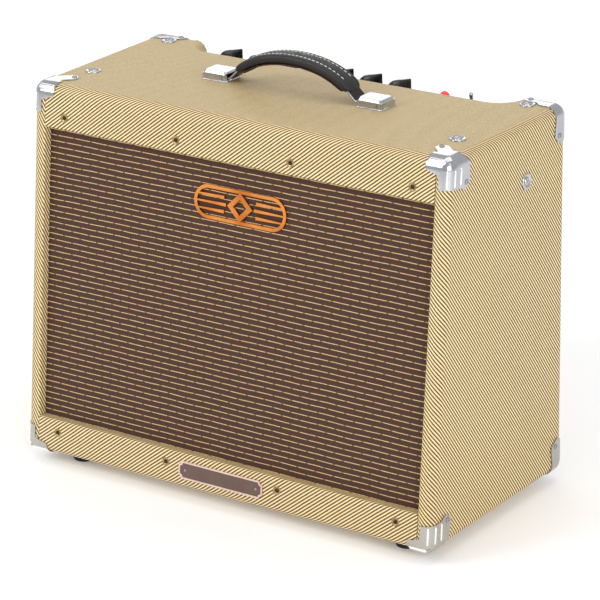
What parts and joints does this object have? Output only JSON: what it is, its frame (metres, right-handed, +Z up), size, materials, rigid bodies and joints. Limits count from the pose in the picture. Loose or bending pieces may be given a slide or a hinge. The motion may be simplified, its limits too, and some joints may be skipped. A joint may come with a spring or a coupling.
{
  "type": "guitar amplifier",
  "caption": "Combo guitar amplifier in diagonal tweed: leaning front with a woven grille, metal corners, a leather top handle and a recessed control panel at the back of the top.",
  "frame": {"origin": "on the floor under the middle of the object's box", "axes": "+X to the right across the front, +Y from the grille to the open back, +Z up"},
  "size_m": [0.563, 0.2895, 0.4986],
  "materials": {
    "tweed": "lacquered diagonal tweed over plywood",
    "plywood": "raw birch plywood",
    "grille_cloth": "dark woven cloth with thin gold lines",
    "nickel": "bright pressed steel",
    "chrome": "polished",
    "rubber": "matt",
    "leather": "black grained, white stitching",
    "copper": "satin copper gold",
    "plate": "satin with a pale border",
    "black_plastic": "moulded",
    "jewel": "faceted red",
    "glass": "clear",
    "paper_cone": "pressed paper",
    "zinc_steel": "plated",
    "black_steel": "satin black paint",
    "circuit": "circuit board laminate"
  },
  "bodies": {
    "cabinet": {"back_panel_lower": "tweed", "badge": "copper", "baffle_board": "plywood", "bottom_panel": "tweed", "bottom_rail": "tweed", "chassis_tray": "black_steel", "circuit_board": "circuit", "control_panel": "chrome", "corner_bottom_front_left": "nickel", "corner_bottom_front_right": "nickel", "corner_bottom_rear_left": "nickel", "corner_bottom_rear_right": "nickel", "corner_top_front_left": "nickel", "corner_top_front_right": "nickel", "corner_top_rear_left": "nickel", "corner_top_rear_right": "nickel", "foot_front_left": "rubber", "foot_front_right": "rubber", "foot_rear_left": "rubber", "foot_rear_right": "rubber", "grille_cloth": "grille_cloth", "grille_frame": "plywood", "handle_cap_left": "chrome", "handle_cap_right": "chrome", "input_jack_1": "chrome", "input_jack_2": "chrome", "lamp_bezel": "chrome", "lamp_jewel": "jewel", "name_plate": "plate", "output_transformer": "black_steel", "power_inlet": "black_plastic", "power_transformer": "black_steel", "power_tube_1": "glass", "power_tube_2": "glass", "power_tube_3": "glass", "power_tube_4": "glass", "preamp_tube_1": "glass", "preamp_tube_2": "glass", "preamp_tube_3": "glass", "reverb_tank": "black_steel", "side_panel_left": "tweed", "side_panel_right": "tweed", "speaker_basket": "zinc_steel", "speaker_magnet": "black_steel", "toggle_bushing": "chrome", "top_panel": "tweed", "top_rail": "tweed", "tube_guard": "black_steel"},
    "knob_1": {"knob_1": "black_plastic"},
    "knob_2": {"knob_2": "black_plastic"},
    "knob_3": {"knob_3": "black_plastic"},
    "knob_4": {"knob_4": "black_plastic"},
    "knob_5": {"knob_5": "black_plastic"},
    "knob_6": {"knob_6": "black_plastic"},
    "knob_7": {"knob_7": "black_plastic"},
    "toggle": {"toggle_lever": "chrome"},
    "push_button_1": {"push_button_1": "black_plastic"},
    "push_button_2": {"push_button_2": "black_plastic"},
    "handle": {"handle_strap": "leather"},
    "cone": {"speaker_cone": "paper_cone"}
  },
  "joints": [
    {"name": "knob_1_turn", "type": "hinge", "parent": "cabinet", "child": "knob_1", "pos_m": [-0.172, 0.13, 0.432], "axis": [0, 0, -1], "range_deg": [0, 280]},
    {"name": "knob_2_turn", "type": "hinge", "parent": "cabinet", "child": "knob_2", "pos_m": [-0.1327, 0.13, 0.432], "axis": [0, 0, -1], "range_deg": [0, 280]},
    {"name": "knob_3_turn", "type": "hinge", "parent": "cabinet", "child": "knob_3", "pos_m": [-0.0934, 0.13, 0.432], "axis": [0, 0, -1], "range_deg": [0, 280]},
    {"name": "knob_4_turn", "type": "hinge", "parent": "cabinet", "child": "knob_4", "pos_m": [-0.0541, 0.13, 0.432], "axis": [0, 0, -1], "range_deg": [0, 280]},
    {"name": "knob_5_turn", "type": "hinge", "parent": "cabinet", "child": "knob_5", "pos_m": [-0.0148, 0.13, 0.432], "axis": [0, 0, -1], "range_deg": [0, 280]},
    {"name": "knob_6_turn", "type": "hinge", "parent": "cabinet", "child": "knob_6", "pos_m": [0.0245, 0.13, 0.432], "axis": [0, 0, -1], "range_deg": [0, 280]},
    {"name": "knob_7_turn", "type": "hinge", "parent": "cabinet", "child": "knob_7", "pos_m": [0.0638, 0.13, 0.432], "axis": [0, 0, -1], "range_deg": [0, 280]},
    {"name": "toggle_flip", "type": "hinge", "parent": "cabinet", "child": "toggle", "pos_m": [0.166, 0.13, 0.435], "axis": [-1, 0, 0], "range_deg": [0, 24]},
    {"name": "push_button_1_press", "type": "slide", "parent": "cabinet", "child": "push_button_1", "axis": [0, 0, -1], "range_m": [0, 0.003], "stiffness_N_per_m": 200},
    {"name": "push_button_2_press", "type": "slide", "parent": "cabinet", "child": "push_button_2", "axis": [0, 0, -1], "range_m": [0, 0.003], "stiffness_N_per_m": 200},
    {"name": "handle_slide", "type": "slide", "parent": "cabinet", "child": "handle", "axis": [1, 0, 0], "range_m": [-0.002, 0.002]},
    {"name": "cone_travel", "type": "slide", "parent": "cabinet", "child": "cone", "axis": [0, 0.995, -0.0995], "range_m": [-0.0025, 0.0025], "stiffness_N_per_m": 2500}
  ]
}
